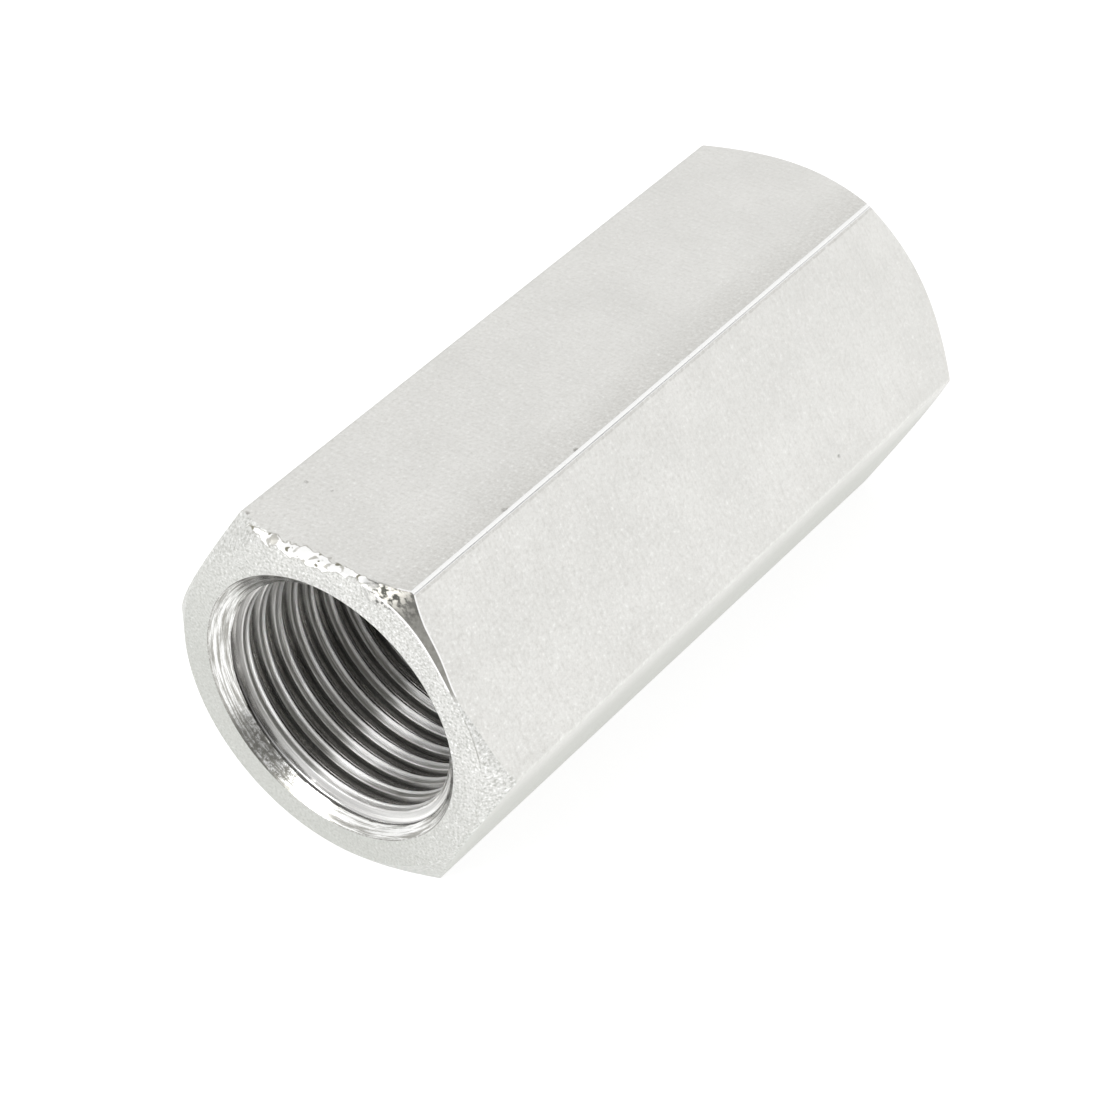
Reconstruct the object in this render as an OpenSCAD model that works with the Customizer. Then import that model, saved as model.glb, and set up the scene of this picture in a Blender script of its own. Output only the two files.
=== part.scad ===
// Long hexagon pipe coupling with a G 1/2 female thread in each end.
// It is one piece, turned, drilled and tapped from a length of hexagon bar.
// X runs along the bore and Z is up, with the bar lying on one of its flats.
// The origin is on the bore axis, halfway along. Sizes are in millimetres.

/* [Hexagon bar] */
// Distance across the flats
across_flats = 27; // [26.5:0.1:32]
// Radius of the bar's drawn corners
corner_r = 0.4; // [0.2:0.1:1]
// Overall length
overall_length = 60; // [50:1:80]

/* [End A, towards -X] */
// Outer diameter of the flat end face, where the corner chamfer starts
face_a_d = 26.6; // [25:0.1:26.9]
// Angle between the corner chamfer and the end face
chamfer_a = 37; // [25:1:50]

/* [End B, towards +X] */
// Outer diameter of the flat end face, where the corner chamfer starts
face_b_d = 26.2; // [25:0.1:26.9]
// Angle between the corner chamfer and the end face
chamfer_b = 41; // [25:1:50]

/* [Bore] */
// Diameter of the countersink at each mouth
mouth_d = 22.3; // [21.5:0.1:24]
// Included angle of the countersinks
mouth_angle = 90; // [60:5:120]
// Depth of the bored hole that each thread is cut in
socket_depth = 22.5; // [21:0.5:24]
// Diameter of the plain drilled middle, between the two sockets
middle_d = 18; // [16:0.5:18.5]
// Included angle of the shoulder where each socket narrows to the middle
shoulder_angle = 118; // [90:1:140]

/* [Thread] */
// Threads to the inch
threads_per_inch = 14; // [14:1:14]
// Major diameter, across the roots
major_d = 20.955; // [20.9:0.005:21.1]
// Minor diameter, across the crests, which is the bored hole's
minor_d = 19.15; // [18.7:0.01:19.17]
// Depth of full thread from the end face
thread_depth = 19; // [14:0.5:19]
// Depth at which the first groove's middle passes straight below the axis
thread_phase = 1.16; // [0:0.01:1.81]

/* [Hidden] */

// Whitworth form: flank angle, root radius and the radius where ridge and groove are equally wide
pitch = 25.4 / threads_per_inch;
flank = 27.5;
root_r = 0.137329 * pitch;
pitch_r = major_d / 2 - 0.640327 * pitch / 2;

// Segments in each turn of the groove, and in its rounded root
turn_steps = 24;
root_steps = 2;
// Turns over which the groove rises out of the wall at its deep end
runout_turns = 0.5;
// How far cutting shapes pass the surface that they cut
clear = 0.3;

socket_r = minor_d / 2;
groove_low_r = socket_r - clear;
lead_turns = 0.6;
groove_turns = lead_turns + (thread_depth - thread_phase) / pitch;

// Half the groove's width at radius r
function groove_half(r) = pitch / 4 + (pitch_r - r) * tan(flank);

// Outline of the groove as [distance along the axis, radius], with the root's arc in the middle
function groove_outline() = concat(
    [[-groove_half(groove_low_r), groove_low_r]],
    [for (i = [0 : root_steps])
        let (a = (2 * i / root_steps - 1) * (90 - flank))
        [root_r * sin(a), major_d / 2 - root_r + root_r * cos(a)]],
    [[groove_half(groove_low_r), groove_low_r]]
);

// How far the groove has sunk towards the axis after t turns: nothing until the run-out
function groove_sink(t) =
    max(0, (t - groove_turns) / runout_turns) * (major_d / 2 - socket_r + clear / 2);

// The helical space between the thread's ridges, right-handed, opening towards -X
module thread_groove() {
    outline = groove_outline();
    n = len(outline);
    rings = ceil((groove_turns + runout_turns) * turn_steps);
    points = [
        for (ring = [0 : rings])
            let (t = ring / turn_steps, a = 270 + 360 * (t - lead_turns), sink = groove_sink(t))
            for (p = outline)
                let (r = p[1] - sink)
                [thread_phase + (t - lead_turns) * pitch + p[0], r * cos(a), r * sin(a)]
    ];
    sides = [
        for (ring = [0 : rings - 1], i = [0 : n - 1])
            let (j = (i + 1) % n, here = ring * n, next = here + n)
            each [[here + i, here + j, next + j], [here + i, next + j, next + i]]
    ];
    start_cap = [[for (i = [n - 1 : -1 : 0]) i]];
    end_cap = [[for (i = [0 : n - 1]) rings * n + i]];
    polyhedron(points, concat(sides, start_cap, end_cap), convexity = 10);
}

// Turns a shape drawn in X and Y, and raised along Z, so that it runs along X with Y up
module along_x() {
    rotate([90, 0, 90]) children();
}

// Hexagon with flats above and below and small round corners
module bar_outline() {
    corner_at = (across_flats / 2 - corner_r) / cos(30);
    polygon([
        for (k = [0 : 5], side = [-30, 30])
            corner_at * [cos(60 * k), sin(60 * k)]
                + corner_r * [cos(60 * k + side), sin(60 * k + side)]
    ]);
    for (k = [0 : 5]) {
        translate(corner_at * [cos(60 * k), sin(60 * k)]) circle(r = corner_r, $fn = 32);
    }
}

// Solid of revolution that turns the bar's corners off at both ends
module turned_envelope() {
    reach = across_flats;
    half = overall_length / 2;
    rotate_extrude($fn = 128) polygon([
        [0, -half],
        [face_a_d / 2, -half],
        [reach, -half + (reach - face_a_d / 2) * tan(chamfer_a)],
        [reach, half - (reach - face_b_d / 2) * tan(chamfer_b)],
        [face_b_d / 2, half],
        [0, half]
    ]);
}

// Everything that the drill, the boring bar and the countersink take out
module bored_space() {
    half = overall_length / 2;
    mouth_slope = tan(mouth_angle / 2);
    cone_depth = (mouth_d / 2 - socket_r) / mouth_slope;
    shoulder = (socket_r - middle_d / 2) / tan(shoulder_angle / 2);
    rotate_extrude($fn = 128) polygon([
        [0, -half - clear],
        [mouth_d / 2 + clear * mouth_slope, -half - clear],
        [socket_r, -half + cone_depth],
        [socket_r, -half + socket_depth],
        [middle_d / 2, -half + socket_depth + shoulder],
        [middle_d / 2, half - socket_depth - shoulder],
        [socket_r, half - socket_depth],
        [socket_r, half - cone_depth],
        [mouth_d / 2 + clear * mouth_slope, half + clear],
        [0, half + clear]
    ]);
}

// The whole coupling
module coupling_body() {
    color([0.86, 0.86, 0.83]) difference() {
        along_x() intersection() {
            translate([0, 0, -overall_length / 2]) linear_extrude(overall_length) bar_outline();
            turned_envelope();
        }
        along_x() bored_space();
        translate([-overall_length / 2, 0, 0]) thread_groove();
        rotate([0, 0, 180]) translate([-overall_length / 2, 0, 0]) thread_groove();
    }
}

coupling_body();
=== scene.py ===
import math

import bmesh
import bpy
import numpy as np
from mathutils import Matrix, Vector, noise


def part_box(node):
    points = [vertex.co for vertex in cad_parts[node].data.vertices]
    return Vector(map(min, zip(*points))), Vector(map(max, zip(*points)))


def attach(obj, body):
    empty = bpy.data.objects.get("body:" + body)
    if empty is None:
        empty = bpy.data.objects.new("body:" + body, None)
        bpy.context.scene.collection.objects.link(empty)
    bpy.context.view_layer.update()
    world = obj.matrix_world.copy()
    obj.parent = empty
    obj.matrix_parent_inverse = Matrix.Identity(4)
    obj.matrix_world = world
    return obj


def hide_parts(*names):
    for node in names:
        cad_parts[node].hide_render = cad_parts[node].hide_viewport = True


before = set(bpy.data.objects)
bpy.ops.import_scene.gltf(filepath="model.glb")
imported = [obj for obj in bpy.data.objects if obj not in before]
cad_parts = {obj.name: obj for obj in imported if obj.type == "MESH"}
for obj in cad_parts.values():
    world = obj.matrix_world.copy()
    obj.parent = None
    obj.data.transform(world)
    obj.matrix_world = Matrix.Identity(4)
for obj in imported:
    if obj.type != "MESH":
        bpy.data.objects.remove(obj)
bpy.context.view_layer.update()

MM = 0.001

# ---------------------------------------------------------------- sizes, in millimetres
LOW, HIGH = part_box("coupling_body")
HALF = (HIGH.x - LOW.x) / 2 / MM
ACROSS_FLATS = (HIGH.z - LOW.z) / MM
FLAT_R = ACROSS_FLATS / 2
CORNER_R = 0.4

# The near end was turned to a cone, and its upper half is worn away from that cone
FACE_A_R, SLOPE_A = 13.3, math.tan(math.radians(37))
WORN_FACE_R = 13.4
WORN_FACE_TO_CORNER = 0.8
FACE_B_R, SLOPE_B = 13.1, math.tan(math.radians(41))

MOUTH_R = 11.15
SOCKET_R = 9.575
SOCKET_DEPTH = 22.5
MIDDLE_R = 9.0

PITCH = 25.4 / 14
FLANK = math.radians(27.5)
MAJOR_R = 20.955 / 2
ROOT_R = 0.137329 * PITCH
PITCH_R = MAJOR_R - 0.640327 * PITCH / 2
THREAD_PHASE = 1.16
THREAD_DEPTH = 19.0
RUNOUT = 1.0
DRILL_POINT = math.radians(59)
# A crest's worn profile from the mouth's side to the deep side: share of its width, depth worn
CREST_PROFILE = ((0.0, 0.10), (0.15, 0.085), (0.30, 0.12), (0.55, 0.12), (0.80, 0.04), (0.92, 0.0))

# The plating is torn along the near edge of the top flat, between two places along Y
TORN_MIDDLE_Y = 1.0
TORN_REACH_Y = 6.0
TORN_HALF_WIDTH = 0.65
TORN_LIFT = 0.20

# Small dents and nicks on the flats and the upper ridge: place and radius
NICKS = (((-23.45, 6.05, 13.5), 0.22), ((-23.2, 3.9, 13.5), 0.16), ((13.2, -14.75, 1.45), 0.2),
         ((-18.2, -7.5, 13.5), 0.35), ((-9.9, -7.5, 13.5), 0.3), ((-28.5, 7.2, 13.4), 0.3))

BORE_COLUMNS = 160
FLAT_STEPS = (26, 110, 56, 30, 26, 26)
CORNER_STEPS = 5


# ---------------------------------------------------------------- thread form
def thread_form(steps, crest):
    """One pitch of the thread as (offset from the groove's middle, radius), offsets rising.

    The crest is worn and cleft, deepest on the side that faces the mouth."""
    tangent = ROOT_R * math.cos(FLANK)
    centre = MAJOR_R - ROOT_R
    crest_edge = PITCH / 4 + (PITCH_R - SOCKET_R) * math.tan(FLANK)
    worn_from = PITCH / 4 + (PITCH_R - SOCKET_R - crest[0][1]) * math.tan(FLANK)

    def groove(o):
        if abs(o) <= tangent:
            return centre + math.sqrt(max(ROOT_R ** 2 - o ** 2, 0))
        return PITCH_R + (PITCH / 4 - abs(o)) / math.tan(FLANK)

    offsets = [-crest_edge + 0.02]
    offsets += [tangent * i / steps for i in range(-steps, steps + 1)]
    offsets += [tangent + (worn_from - tangent) * i / steps for i in range(1, steps)]
    out = [(-crest_edge - 0.02, SOCKET_R)] + [(o, groove(o)) for o in offsets]
    width = PITCH - crest_edge - 0.02 - worn_from
    out += [(worn_from + width * share, SOCKET_R + depth) for share, depth in crest]
    return out


def socket_wall(theta, form, fine_cone):
    """Stations down one socket at an angle, as [depth, radius], from the mouth to the thread's end."""
    turn = (theta - math.radians(270)) / math.tau
    table_o = np.array([o for o, r in form])
    table_r = np.array([r for o, r in form])
    table_o = np.concatenate([table_o - PITCH, table_o])
    table_r = np.concatenate([table_r, table_r])

    def radius(depth):
        o = (depth - THREAD_PHASE) / PITCH - turn
        o = (o - math.floor(o + 0.5)) * PITCH
        r = float(np.interp(o, table_o, table_r))
        fade = min(max((THREAD_DEPTH + RUNOUT - depth) / RUNOUT, 0), 1)
        r = SOCKET_R + (r - SOCKET_R) * fade
        return max(r, MOUTH_R - depth)

    cone_end = MOUTH_R - SOCKET_R + 0.1
    out = [[d, radius(d)] for d in np.linspace(0, cone_end, fine_cone)]
    first = math.floor((cone_end - THREAD_PHASE) / PITCH - turn) - 1
    last = math.ceil((THREAD_DEPTH - THREAD_PHASE) / PITCH - turn) + 1
    for k in range(first, last + 1):
        for o, r in form:
            d = THREAD_PHASE + (turn + k) * PITCH + o
            if cone_end + 0.03 < d < THREAD_DEPTH + RUNOUT:
                out.append([d, radius(d)])
    return out


# ---------------------------------------------------------------- mesh building
class Skin:
    """Points and faces of one closed surface, in millimetres."""

    def __init__(self):
        self.points = []
        self.faces = []
        self.kinds = []

    def add(self, points):
        first = len(self.points)
        self.points.extend(points)
        return list(range(first, first + len(points)))

    def strip(self, one, two, kind):
        """Joins two rows of points that run the same way but may differ in number."""
        p = self.points
        a = b = 0
        while a < len(one) - 1 or b < len(two) - 1:
            if a == len(one) - 1:
                step_a = False
            elif b == len(two) - 1:
                step_a = True
            else:
                u, v = p[one[a + 1]], p[two[b]]
                s, t = p[one[a]], p[two[b + 1]]
                step_a = math.dist(u, v) < math.dist(s, t)
            if step_a:
                self.faces.append((one[a], one[a + 1], two[b]))
                a += 1
            else:
                self.faces.append((one[a], two[b + 1], two[b]))
                b += 1
            self.kinds.append(kind)

    def ring_quads(self, one, two, kinds):
        """Joins two closed rings with the same number of points, with one kind for each column."""
        n = len(one)
        for i in range(n):
            j = (i + 1) % n
            self.faces.append((one[i], one[j], two[j], two[i]))
            self.kinds.append(kinds[i])


def polar(x, r, theta):
    return (x, r * math.cos(theta), r * math.sin(theta))


def hex_outline(flat_steps, corner_steps):
    """The bar's outline as (angle, radius, is corner), counter-clockwise from the corner at +Y."""
    corner_at = (FLAT_R - CORNER_R) / math.cos(math.radians(30))
    out = []
    for k in range(6):
        middle = math.radians(60 * k)
        for i in range(corner_steps + 1):
            a = middle + math.radians(-30 + 60 * i / corner_steps)
            out.append((corner_at * math.cos(middle) + CORNER_R * math.cos(a),
                        corner_at * math.sin(middle) + CORNER_R * math.sin(a), i < corner_steps))
        after = math.radians(60 * (k + 1))
        a = after + math.radians(-30)
        start = out[-1]
        end = (corner_at * math.cos(after) + CORNER_R * math.cos(a),
               corner_at * math.sin(after) + CORNER_R * math.sin(a))
        for i in range(1, flat_steps[k]):
            t = i / flat_steps[k]
            out.append((start[0] + (end[0] - start[0]) * t, start[1] + (end[1] - start[1]) * t, False))
    return [(math.atan2(z, y), math.hypot(y, z), corner) for y, z, corner in out]


def build_bore(skin, columns):
    """The whole hole from mouth to mouth. Returns the two mouth rings."""
    form_a = thread_form(3, CREST_PROFILE)
    form_b = thread_form(2, CREST_PROFILE[::2])
    rows = []
    for i in range(columns):
        theta = math.tau * i / columns
        near = [polar(-HALF + d, r, theta) for d, r in socket_wall(theta, form_a, 28)]
        # The far socket is the near one turned half a turn about Z, which keeps it right-hand
        far = [polar(HALF - d, r, theta) for d, r in socket_wall(math.pi - theta, form_b, 12)]
        shoulder = SOCKET_DEPTH + (SOCKET_R - MIDDLE_R) / math.tan(DRILL_POINT)
        middle = [(-HALF + THREAD_DEPTH + RUNOUT, SOCKET_R), (-HALF + SOCKET_DEPTH, SOCKET_R),
                  (-HALF + shoulder, MIDDLE_R), (0, MIDDLE_R), (HALF - shoulder, MIDDLE_R),
                  (HALF - SOCKET_DEPTH, SOCKET_R), (HALF - THREAD_DEPTH - RUNOUT, SOCKET_R)]
        rows.append(skin.add(near + [polar(x, r, theta) for x, r in middle] + far[::-1]))
    for i in range(columns):
        skin.strip(rows[i], rows[(i + 1) % columns], "bore")
    return [row[0] for row in rows], [row[-1] for row in rows]


def torn(point):
    """Raises small lumps along the torn edge of the top flat."""
    x, y, z = point
    across = (x + HALF) - (FLAT_R - z)
    reach = 1 - ((y - TORN_MIDDLE_Y) / TORN_REACH_Y) ** 2
    if z < 0 or reach <= 0 or abs(across) > 1.2:
        return point
    fade = max(0, 1 - abs(across - 0.1) / 0.9) * min(1, reach * 3)
    lump = noise.noise(Vector((x, y, z)) * 1.6)
    lift = TORN_LIFT * fade * (lump + 0.15)
    return (x - lift * 0.5, y, z + lift * 0.7)


def ease(value, low, high):
    """0 at low and below, 1 at high and above, smooth between."""
    t = min(max((value - low) / (high - low), 0), 1)
    return t * t * (3 - 2 * t)


def worn_share(theta):
    """1 on the worn upper half of the near end, 0 where the turned cone is left."""
    degrees = math.degrees(theta) % 360
    return ease(degrees, 50, 85) * ease(degrees, 200, 160)


def face_edge_a(theta):
    """Radius where the near end face stops."""
    toward_corner = (1 - math.cos(6 * (theta - math.radians(30)))) / 2
    worn = WORN_FACE_R + WORN_FACE_TO_CORNER * toward_corner
    return FACE_A_R + (worn - FACE_A_R) * worn_share(theta)


def flat_edge_a(theta, rho):
    """How far from the near end a flat begins, at an angle where the outline's radius is rho."""
    out = rho - FLAT_R
    turned = (rho - FACE_A_R) * SLOPE_A + 0.3 * max(0, math.cos(theta)) ** 20 * out
    worn = 0.15 + 0.5 * (1 - math.exp(-out / 0.2)) + 0.16 * out ** 2
    worn -= 0.25 * max(0, math.cos(theta - math.radians(125))) ** 6 * min(1, out)
    return turned + (worn - turned) * worn_share(theta)


def build_outside(skin, outline, mouth_a, mouth_b):
    """End faces, turned corner chamfers and the six flats."""

    def ring(place):
        return skin.add([torn(polar(*place(theta, rho), theta)) for theta, rho, corner in outline])

    def on_face_a(t):
        return ring(lambda theta, rho: (-HALF, MOUTH_R + (face_edge_a(theta) - MOUTH_R) * t))

    def on_chamfer_a(t):
        def place(theta, rho):
            r = face_edge_a(theta)
            return -HALF + flat_edge_a(theta, rho) * t, r + (rho - r) * t
        return ring(place)

    def on_wall(near, t):
        def place(theta, rho):
            a = -HALF + flat_edge_a(theta, rho)
            b = HALF - (rho - FACE_B_R) * SLOPE_B
            return (a + near if near is not None else a + (b - a) * t), rho
        return ring(place)

    def on_chamfer_b(t):
        def place(theta, rho):
            r = FACE_B_R + (rho - FACE_B_R) * t
            return HALF - (r - FACE_B_R) * SLOPE_B, r
        return ring(place)

    def on_face_b(t):
        return ring(lambda theta, rho: (HALF, MOUTH_R + (FACE_B_R - MOUTH_R) * t))

    everywhere = range(len(outline))
    angles = [math.degrees(theta) % 360 for theta, rho, corner in outline]

    # Columns between two angles get the edge material, worn and carrying a painted highlight
    def worn_and_highlit_where(base, low, high):
        return ["edge" if low < a < high else base for a in angles]

    flats = ["edge" if corner and 110 < a < 130 else "wall" for a, (t, r, corner) in zip(angles, outline)]
    rings = []
    kinds = []

    def stack(ids, kind):
        rings.append(ids)
        kinds.append(kind if isinstance(kind, list) else [kind for i in everywhere])

    for t in (0.15, 0.4, 0.65, 0.78, 0.86, 0.93):
        stack(on_face_a(t), "face")
    kinds[-1] = worn_and_highlit_where("face", 112, 147)
    for t in (0, 0.25, 0.5, 0.75):
        stack(on_chamfer_a(t), "chamfer")
    stack(on_wall(0, 0), worn_and_highlit_where("wall", 116, 150))
    for near in np.arange(0.14, 2.4, 0.14):
        stack(on_wall(near, 0), flats)
    for t in np.linspace(0.045, 1, 44):
        stack(on_wall(None, t), flats)
    kinds[-1] = ["chamfer" for i in everywhere]
    for t in (0.66, 0.33):
        stack(on_chamfer_b(t), "chamfer")
    for t in (1.0, 0.6, 0.15):
        stack(on_face_b(t), "face")
    for one, two, kind in zip(rings, rings[1:], kinds):
        skin.ring_quads(one, two, kind)

    def close(ids):
        ids = sorted(ids, key=lambda i: math.atan2(skin.points[i][2], skin.points[i][1]) % math.tau)
        return ids + [ids[0]]

    skin.strip(close(mouth_a), close(rings[0]), "face")
    skin.strip(close(rings[-1]), close(mouth_b), "face")


KINDS = ("wall", "edge", "face", "chamfer", "bore")


def build_coupling():
    skin = Skin()
    mouths = build_bore(skin, BORE_COLUMNS)
    outline = hex_outline(FLAT_STEPS, CORNER_STEPS)
    build_outside(skin, outline, *mouths)
    mesh = bpy.data.meshes.new("coupling")
    mesh.from_pydata([[c * MM for c in p] for p in skin.points], [], skin.faces)
    mesh.polygons.foreach_set("material_index", [KINDS.index(k) for k in skin.kinds])
    solid = bmesh.new()
    solid.from_mesh(mesh)
    bmesh.ops.recalc_face_normals(solid, faces=solid.faces)
    solid.to_mesh(mesh)
    solid.free()
    mesh.shade_smooth()
    mesh.set_sharp_from_angle(angle=math.radians(35))
    obj = bpy.data.objects.new("coupling", mesh)
    bpy.context.scene.collection.objects.link(obj)
    return obj


coupling = build_coupling()


# ---------------------------------------------------------------- materials
class Nodes:
    """Short calls for building one material's node tree."""

    def __init__(self, name):
        self.material = bpy.data.materials.new(name)
        self.material.use_nodes = True
        self.tree = self.material.node_tree
        self.shader = self.tree.nodes["Principled BSDF"]
        self.where = self.make("ShaderNodeTexCoord").outputs["Object"]
        self.x, self.y, self.z = self.parts(self.stretch(self.where, (1, 1, 1)))

    def make(self, kind, inputs=(), **settings):
        node = self.tree.nodes.new(kind)
        for key, value in settings.items():
            setattr(node, key, value)
        for key, value in dict(inputs).items():
            if isinstance(value, bpy.types.NodeSocket):
                self.tree.links.new(value, node.inputs[key])
            else:
                node.inputs[key].default_value = value
        return node

    def stretch(self, vector, scale):
        """A position in metres turned into millimetres times a scale for each axis."""
        inputs = {"Vector": vector, "Scale": [c / MM for c in scale]}
        return self.make("ShaderNodeMapping", inputs).outputs[0]

    def parts(self, vector):
        node = self.make("ShaderNodeSeparateXYZ", {"Vector": vector})
        return node.outputs["X"], node.outputs["Y"], node.outputs["Z"]

    def calc(self, operation, one, two=0.0):
        return self.make("ShaderNodeMath", {0: one, 1: two}, operation=operation).outputs[0]

    def noise(self, scale, detail=4.0, roughness=0.6, vector=None, fourth=0.0):
        """Noise from 0 to 1 with about scale grains per millimetre along each axis."""
        if vector is None:
            vector = self.stretch(self.where, scale)
        inputs = {"Vector": vector, "W": fourth, "Scale": 1.0, "Detail": detail, "Roughness": roughness}
        return self.make("ShaderNodeTexNoise", inputs, noise_dimensions="4D").outputs["Fac"]

    def rings(self, per_mm, around, detail, roughness):
        """Noise drawn out in rings about the bore's axis."""
        where = {"X": self.both(self.radius(), per_mm), "Y": self.both(self.y, around),
                 "Z": self.both(self.z, around)}
        vector = self.make("ShaderNodeCombineXYZ", where).outputs[0]
        return self.noise(None, detail, roughness, vector)

    def helix(self, turn, per_pitch, around, detail, roughness):
        """Noise drawn out along the thread; turn counts the pitches along the bore."""
        phase = self.both(turn, 2 * math.pi)
        size = per_pitch / (2 * math.pi)
        where = {"X": self.both(self.calc("COSINE", phase), size),
                 "Y": self.both(self.calc("SINE", phase), size),
                 "Z": self.calc("ADD", self.both(self.y, around), self.both(self.x, 0.5))}
        vector = self.make("ShaderNodeCombineXYZ", where).outputs[0]
        return self.noise(None, detail, roughness, vector, self.both(self.z, around))

    def span(self, value, low, high, to_low=0.0, to_high=1.0):
        return self.make("ShaderNodeMapRange", {"Value": value, "From Min": low, "From Max": high,
                                                "To Min": to_low, "To Max": to_high}).outputs["Result"]

    def both(self, one, two):
        return self.calc("MULTIPLY", one, two)

    def blend(self, factor, one, two):
        node = self.make("ShaderNodeMix", data_type="RGBA")
        for socket, value in ((node.inputs[0], factor), (node.inputs[6], one), (node.inputs[7], two)):
            if isinstance(value, bpy.types.NodeSocket):
                self.tree.links.new(value, socket)
            else:
                socket.default_value = value if isinstance(value, (int, float)) else (*value, 1)
        return node.outputs[2]

    def radius(self):
        """Distance from the bore's axis, in millimetres."""
        squares = self.calc("ADD", self.both(self.y, self.y), self.both(self.z, self.z))
        return self.calc("SQRT", squares)

    def angle(self):
        """Angle about the bore's axis in degrees, from -180 to 180 with 0 at +Y."""
        return self.calc("MULTIPLY", self.calc("ARCTAN2", self.z, self.y), math.degrees(1))

    def spot(self, place, size):
        """1 inside a soft round spot, 0 outside it."""
        here = self.stretch(self.where, (1, 1, 1))
        gap = self.make("ShaderNodeVectorMath", {0: here, 1: place}, operation="DISTANCE").outputs["Value"]
        return self.span(gap, size, size * 0.4)

    def bump(self, height, strength, distance_mm, under=None):
        inputs = {"Height": height, "Strength": strength, "Distance": distance_mm * MM}
        if under is not None:
            inputs["Normal"] = under
        return self.make("ShaderNodeBump", inputs).outputs["Normal"]

    def finish(self, color, roughness, normal, metallic=1.0):
        for key, value in (("Base Color", color), ("Roughness", roughness), ("Normal", normal),
                           ("Metallic", metallic)):
            if isinstance(value, bpy.types.NodeSocket):
                self.tree.links.new(value, self.shader.inputs[key])
            else:
                self.shader.inputs[key].default_value = value
        return self.material


def add_torn_band(n, color):
    """Paints the torn plating along the near edge of the top flat over a colour."""
    across = n.calc("ADD", n.calc("ADD", n.x, n.z), HALF - FLAT_R)
    off = n.calc("SUBTRACT", n.y, TORN_MIDDLE_Y)
    off_squared = n.both(off, off)
    middle = n.calc("ADD", n.both(off_squared, 0.008), 0.1)
    half = n.calc("MULTIPLY_ADD", off_squared, -TORN_HALF_WIDTH / TORN_REACH_Y ** 2)
    half.node.inputs[2].default_value = TORN_HALF_WIDTH
    ragged = n.span(n.noise((1.1, 1.1, 1.1), 2, 0.5), 0.3, 0.7, -0.35, 0.35)
    from_middle = n.calc("ADD", n.calc("SUBTRACT", across, middle), ragged)
    beyond = n.calc("SUBTRACT", n.calc("ABSOLUTE", from_middle), half)
    above = n.calc("GREATER_THAN", n.z, 0.0)
    on_top = n.both(above, n.calc("GREATER_THAN", half, 0.02))
    inside = n.both(n.span(beyond, 0.03, -0.05), on_top)
    rim = n.both(n.both(n.span(beyond, 0.12, 0.04), n.span(beyond, -0.04, 0.02)), on_top)
    flakes = n.noise((1.4, 1.4, 1.4), 1.0, 0.4)
    pits = n.span(n.noise((1.5, 1.5, 1.5), 1.5, 0.5), 0.60, 0.63)
    color = n.blend(n.both(rim, 0.7), color, (0.36, 0.35, 0.31))
    flaked = n.blend(n.span(flakes, 0.36, 0.41), (0.55, 0.54, 0.50), (1.0, 1.0, 0.99))
    flaked = n.blend(pits, flaked, (0.24, 0.23, 0.18))
    color = n.blend(inside, color, flaked)
    from_edge = n.calc("ABSOLUTE", n.calc("ADD", across, 0.35))
    by_ridge = n.both(n.span(n.y, -4.2, -5.4), n.span(from_edge, 1.25, 0.85))
    by_ridge = n.both(by_ridge, n.both(n.span(n.x, 2.0 - HALF, 1.6 - HALF), n.span(n.z, 11.7, 12.3)))
    by_ridge = n.both(by_ridge, n.span(n.y, -7.9, -7.7))
    cuts = n.noise((3.5, 1.7, 1.7), 3, 0.6)
    chatter = n.blend(n.span(cuts, 0.46, 0.54), (0.06, 0.06, 0.05), (0.80, 0.79, 0.76))
    return n.blend(n.both(by_ridge, 0.85), color, chatter)


def plated_flats():
    n = Nodes("plated_flats")
    cloud = n.noise((0.18, 0.18, 0.18), 3)
    grain = n.noise((3.4, 3.4, 3.4), 5, 0.7)
    brush = n.noise((5.0, 0.45, 0.45), 3, 0.6)
    color = n.blend(n.span(cloud, 0.35, 0.65), (0.755, 0.75, 0.725), (0.80, 0.795, 0.77))
    near = n.span(n.x, HALF, -HALF, 0.55, 1.15)
    color = n.blend(n.both(n.span(grain, 0.49, 0.68, 0, 0.55), near), color, (0.60, 0.59, 0.56))
    color = n.blend(n.both(n.span(grain, 0.44, 0.32, 0, 0.7), near), color, (0.97, 0.97, 0.95))
    color = n.blend(n.span(brush, 0.50, 0.75, 0, 0.3), color, (0.62, 0.61, 0.58))
    # Painted shade: a soft darker band on the top flat beside the upper ridge
    top = n.calc("GREATER_THAN", n.z, FLAT_R - 0.4)
    painted_ridge_shade = n.both(top, n.span(n.y, -4.0, -7.6))
    color = n.blend(n.both(painted_ridge_shade, n.span(grain, 0.35, 0.6, 0.1, 0.55)), color, (0.56, 0.55, 0.52))
    # Painted shade: the flats darker towards the bottom
    color = n.blend(n.span(n.z, 1.0, -6.0, 0, 0.75), color, (0.56, 0.57, 0.53))
    for place, size in NICKS:
        dent = n.both(n.spot(place, size), n.span(grain, 0.4, 0.55, 0.1, 0.8))
        color = n.blend(dent, color, (0.30, 0.29, 0.27))
    color = add_torn_band(n, color)
    rough = n.span(grain, 0.3, 0.7, 0.40, 0.52)
    return n.finish(color, rough, n.bump(grain, 0.22, 0.05, n.bump(brush, 0.10, 0.05)))


def worn_and_highlit_edge():
    n = Nodes("worn_and_highlit_edge")
    grain = n.noise((2.5, 2.5, 2.5), 4, 0.7)
    # Partly wear, partly painted highlight: the rubbed ridge rounding is coloured near white for the
    # bright line it catches
    color = n.blend(n.span(grain, 0.62, 0.70), (0.99, 0.99, 0.98), (0.70, 0.69, 0.66))
    return n.finish(color, n.span(grain, 0.3, 0.7, 0.16, 0.26), n.bump(grain, 0.05, 0.03))


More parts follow.
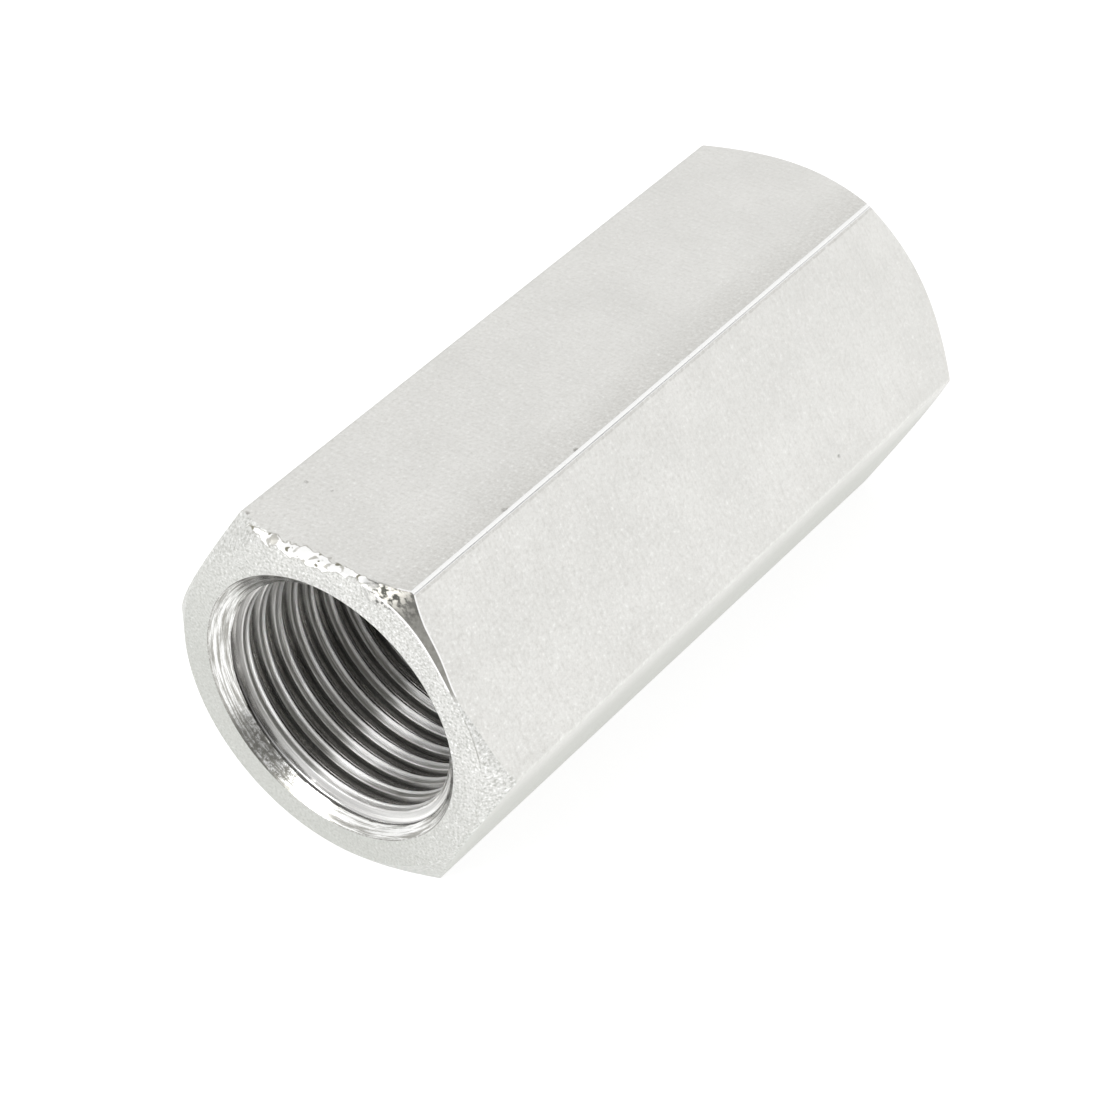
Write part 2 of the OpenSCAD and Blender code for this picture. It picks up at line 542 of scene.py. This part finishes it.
def end_plating(n):
    """Colour, roughness and normal shared by the turned faces and their chamfers."""
    grain = n.noise((4.5, 4.5, 4.5), 5, 0.72)
    blotch = n.noise((0.5, 0.5, 0.5), 3, 0.6)
    color = n.blend(n.span(blotch, 0.35, 0.65), (0.65, 0.65, 0.63), (0.74, 0.74, 0.72))
    color = n.blend(n.span(grain, 0.50, 0.62, 0, 0.9), color, (0.40, 0.40, 0.37))
    color = n.blend(n.span(grain, 0.46, 0.36, 0, 1.0), color, (1.0, 1.0, 0.99))
    specks = n.noise((2.3, 2.3, 2.3), 2, 0.5)
    color = n.blend(n.span(specks, 0.66, 0.69), color, (1.0, 1.0, 0.99))
    color = n.blend(n.span(n.rings(5.0, 0.12, 4, 0.65), 0.54, 0.72, 0, 0.35), color, (0.50, 0.50, 0.47))
    scratch = n.noise((1.2, 1.2, 4.0), 4, 0.7)
    color = n.blend(n.span(scratch, 0.60, 0.68, 0, 0.5), color, (0.50, 0.50, 0.47))
    # Painted shade: the turned faces and chamfers darker towards the bottom and the +Y side
    painted_shade_slope = n.calc("SUBTRACT", n.both(n.z, 0.6), n.both(n.y, 0.5))
    color = n.blend(n.span(painted_shade_slope, 7.0, -6.0, 0, 0.7), color, (0.52, 0.53, 0.50))
    return grain, color


def turned_face():
    n = Nodes("turned_face")
    grain, color = end_plating(n)
    angle = n.angle()
    # Painted shadow: a thin dark line along the face's outer edge, towards the corner at -Y
    off = n.calc("ABSOLUTE", n.calc("SUBTRACT", n.radius(), n.span(angle, 148, 172, 13.42, 13.70)))
    painted_shadow_line = n.both(n.span(off, 0.09, 0.03), n.both(n.span(angle, 146, 149), n.span(angle, 178, 170)))
    color = n.blend(n.both(painted_shadow_line, n.span(grain, 0.35, 0.55, 0.3, 0.9)), color, (0.36, 0.355, 0.33))
    color = add_torn_band(n, color)
    return n.finish(color, n.span(grain, 0.3, 0.7, 0.38, 0.5), n.bump(grain, 0.2, 0.04))


def turned_chamfer():
    """As the face, with a bare and dull crescent at the near end of the upper ridge."""
    n = Nodes("turned_chamfer")
    grain, color = end_plating(n)
    angle = n.angle()
    window = n.both(n.span(angle, 106, 113), n.span(angle, 152, 148))
    window = n.both(window, n.calc("LESS_THAN", n.x, 0.0))
    mottle = n.noise((1.6, 1.6, 1.6), 5, 0.75)
    tip = n.span(angle, 127, 117)
    dull = n.blend(n.span(mottle, 0.38, 0.62), (0.25, 0.245, 0.225), (0.36, 0.355, 0.33))
    cuts = n.span(n.noise((4.0, 1.7, 1.7), 3, 0.6), 0.46, 0.56)
    chatter = n.blend(cuts, (0.04, 0.04, 0.035), (0.36, 0.35, 0.32))
    dull = n.blend(tip, dull, chatter)
    color = n.blend(window, add_torn_band(n, color), dull)
    normal = n.bump(mottle, 0.3, 0.08, n.bump(grain, 0.2, 0.04))
    return n.finish(color, n.span(grain, 0.3, 0.7, 0.32, 0.5), normal)


def cut_thread():
    """Bright worn crests, flanks and roots darkened by painted shade, and a bright, streaky countersink.

    The crests carry a painted highlight along their deep edges and, lowest in the bore, across their whole
    width, with painted shade beside that, by angle about the axis, and are less metallic at the very
    bottom; the lower flanks carry a painted highlight line."""
    n = Nodes("cut_thread")
    radius = n.radius()
    angle = n.angle()
    turns = n.both(angle, 1 / 360)
    along = n.calc("SUBTRACT", n.both(n.x, 1 / PITCH), turns)
    streak = n.helix(along, 9.0, 0.10, 4, 0.7)
    grain = n.noise((5.0, 5.0, 5.0), 4, 0.65)
    worn = n.span(radius, 9.80, 9.73)
    lower_flank = n.both(n.span(radius, 10.08, 10.16), n.span(radius, 10.38, 10.33))
    root = n.span(radius, 10.33, 10.38)
    # Where a point lies across the pitch: 0 at the groove's middle, 0.66 at the crest's deep edge
    across = n.calc("FRACT", n.calc("ADD", along, (HALF - THREAD_PHASE) / PITCH + 0.75))
    deep_side = n.span(across, 0.49, 0.56)
    bright = n.blend(n.span(streak, 0.44, 0.56), (0.74, 0.735, 0.715), (0.34, 0.335, 0.315))
    # Painted highlight: near-white crest colour along the deep edges, and across whole crests lowest in
    # the bore
    painted_crest_highlight = n.blend(n.span(streak, 0.52, 0.62), (1.0, 1.0, 0.99), (0.58, 0.57, 0.55))
    lowest = n.both(n.span(angle, -108, -98), n.span(angle, -64, -74))
    bright = n.blend(n.calc("MAXIMUM", deep_side, lowest), bright, painted_crest_highlight)
    shade = n.both(n.span(angle, -73, -63), n.span(angle, -38, -50))
    bright = n.blend(n.both(shade, 0.55), bright, (0.30, 0.295, 0.28))
    # Painted shade darkens the flanks and, most, the roots; the lower flanks carry a painted highlight
    # line
    painted_groove_shade = n.blend(n.span(streak, 0.40, 0.60), (0.44, 0.435, 0.42), (0.22, 0.215, 0.205))
    painted_flank_highlight = n.blend(n.span(streak, 0.40, 0.60), (0.90, 0.89, 0.87), (0.45, 0.44, 0.42))
    painted_groove_shade = n.blend(lower_flank, painted_groove_shade, painted_flank_highlight)
    painted_groove_shade = n.blend(root, painted_groove_shade, (0.13, 0.125, 0.12))
    color = n.blend(worn, painted_groove_shade, bright)
    # Painted highlight: the first turn is coloured near white, low in the near bore
    first_turn_highlight = n.both(n.span(angle, -30, -60), n.span(angle, -178, -140))
    first_turn_highlight = n.both(first_turn_highlight, n.span(n.x, 2.3 - HALF, 1.9 - HALF))
    color = n.blend(n.both(first_turn_highlight, 0.45), color, (0.97, 0.97, 0.96))
    depth = n.calc("SUBTRACT", HALF, n.calc("ABSOLUTE", n.x))
    off_cone = n.calc("ABSOLUTE", n.calc("SUBTRACT", n.calc("ADD", radius, depth), MOUTH_R))
    cone = n.span(off_cone, 0.10, 0.05)
    ring_marks = n.rings(7.0, 0.25, 5, 0.7)
    cone_color = n.blend(n.span(ring_marks, 0.45, 0.57), (0.90, 0.90, 0.885), (0.36, 0.355, 0.33))
    chatter_zone = n.both(n.span(angle, -80, -62), n.span(angle, -18, -40))
    chatter = n.span(n.noise((2.2, 2.2, 2.2), 5, 0.8), 0.46, 0.56)
    cone_color = n.blend(n.both(chatter_zone, chatter), cone_color, (0.28, 0.275, 0.25))
    lip = n.both(n.span(radius, MOUTH_R - 0.10, MOUTH_R - 0.04), n.span(grain, 0.35, 0.55, 0.3, 0.9))
    cone_color = n.blend(lip, cone_color, (0.30, 0.295, 0.27))
    color = n.blend(cone, color, cone_color)
    rough = n.span(worn, 0, 1, 0.24, 0.34)
    rough = n.calc("ADD", rough, n.span(streak, 0.3, 0.7, -0.06, 0.06))
    burnished = n.both(n.both(n.span(angle, -92, -83), n.span(angle, -64, -72)), worn)
    metallic = n.calc("SUBTRACT", n.span(worn, 0, 1, 1.0, 0.70), n.both(burnished, 0.45))
    normal = n.bump(streak, 0.22, 0.04, n.bump(grain, 0.03, 0.03))
    return n.finish(color, rough, normal, metallic)


for make_material in (plated_flats, worn_and_highlit_edge, turned_face, turned_chamfer, cut_thread):
    coupling.data.materials.append(make_material())

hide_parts("coupling_body")
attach(coupling, "root")


# ---------------------------------------------------------------- floor, light and camera
def light_table():
    n = Nodes("light_table")
    n.shader.inputs["Base Color"].default_value = (0.3, 0.3, 0.3, 1)
    n.shader.inputs["Roughness"].default_value = 0.8
    n.shader.inputs["Specular IOR Level"].default_value = 0.0
    n.shader.inputs["Emission Color"].default_value = (1, 1, 1, 1)
    n.shader.inputs["Emission Strength"].default_value = 0.80
    return n.material


def add_floor(reach):
    mesh = bpy.data.meshes.new("floor")
    corners = [(-reach, -reach), (reach, -reach), (reach, reach), (-reach, reach)]
    mesh.from_pydata([(x, y, LOW.z) for x, y in corners], [], [(0, 1, 2, 3)])
    mesh.materials.append(light_table())
    floor = bpy.data.objects.new("floor", mesh)
    bpy.context.scene.collection.objects.link(floor)


add_floor(1.5)

# Parts of the light tent around the object: direction, inner and outer angle in degrees, brightness
TENT = (((0.60, 0.48, 0.62), 10, 60, 0.93),
        ((0.60, 0.80, 0.10), 6, 16, 0.45),
        ((0.615, -0.66, 0.43), 5, 11, 0.35),
        ((-0.90, -0.35, 0.15), 16, 32, 0.35),
        ((-0.66, 0.11, 0.74), 12, 16, 11.0))


def studio_world():
    """A pale light tent with a softbox at the upper left and a few darker openings."""
    world = bpy.data.worlds.new("studio")
    bpy.context.scene.world = world
    world.use_nodes = True
    tree = world.node_tree
    where = tree.nodes.new("ShaderNodeTexCoord").outputs["Generated"]
    sky = tree.nodes["Background"]
    level = None
    for direction, inner, outer, brightness in TENT:
        dot = tree.nodes.new("ShaderNodeVectorMath")
        dot.operation = "DOT_PRODUCT"
        tree.links.new(where, dot.inputs[0])
        dot.inputs[1].default_value = Vector(direction).normalized()
        span = tree.nodes.new("ShaderNodeMapRange")
        span.interpolation_type = "SMOOTHSTEP"
        tree.links.new(dot.outputs["Value"], span.inputs["Value"])
        span.inputs["From Min"].default_value = math.cos(math.radians(outer))
        span.inputs["From Max"].default_value = math.cos(math.radians(inner))
        mix = tree.nodes.new("ShaderNodeMix")
        tree.links.new(span.outputs["Result"], mix.inputs[0])
        if level is None:
            mix.inputs[2].default_value = 1.0
        else:
            tree.links.new(level, mix.inputs[2])
        mix.inputs[3].default_value = brightness
        level = mix.outputs[0]
    sky.inputs["Color"].default_value = (1, 1, 1, 1)
    tree.links.new(level, sky.inputs["Strength"])


studio_world()

VIEW_AZIMUTH, VIEW_ELEVATION, VIEW_ROLL = 38.11, 38.55, -2.61
VIEW_DISTANCE = 278.8
VIEW_RIGHT, VIEW_UP = 2.174, 4.258
LENS = 120.86


def add_camera():
    az, el, roll = (math.radians(a) for a in (VIEW_AZIMUTH, VIEW_ELEVATION, VIEW_ROLL))
    back = Vector((-math.cos(az) * math.cos(el), -math.sin(az) * math.cos(el), math.sin(el)))
    right = (-back).cross(Vector((0, 0, 1))).normalized()
    up = right.cross(-back)
    tilted_right = math.cos(roll) * right + math.sin(roll) * up
    tilted_up = math.cos(roll) * up - math.sin(roll) * right
    place = VIEW_DISTANCE * back - VIEW_RIGHT * tilted_right - VIEW_UP * tilted_up
    camera = bpy.data.objects.new("camera", bpy.data.cameras.new("camera"))
    bpy.context.scene.collection.objects.link(camera)
    camera.data.lens = LENS
    camera.data.sensor_width = 36
    camera.data.clip_start = 0.01
    turn = Matrix((tilted_right, tilted_up, back)).transposed()
    camera.matrix_world = Matrix.Translation(place * MM) @ turn.to_4x4()
    bpy.context.scene.camera = camera


add_camera()
bpy.context.scene.view_settings.view_transform = "Standard"
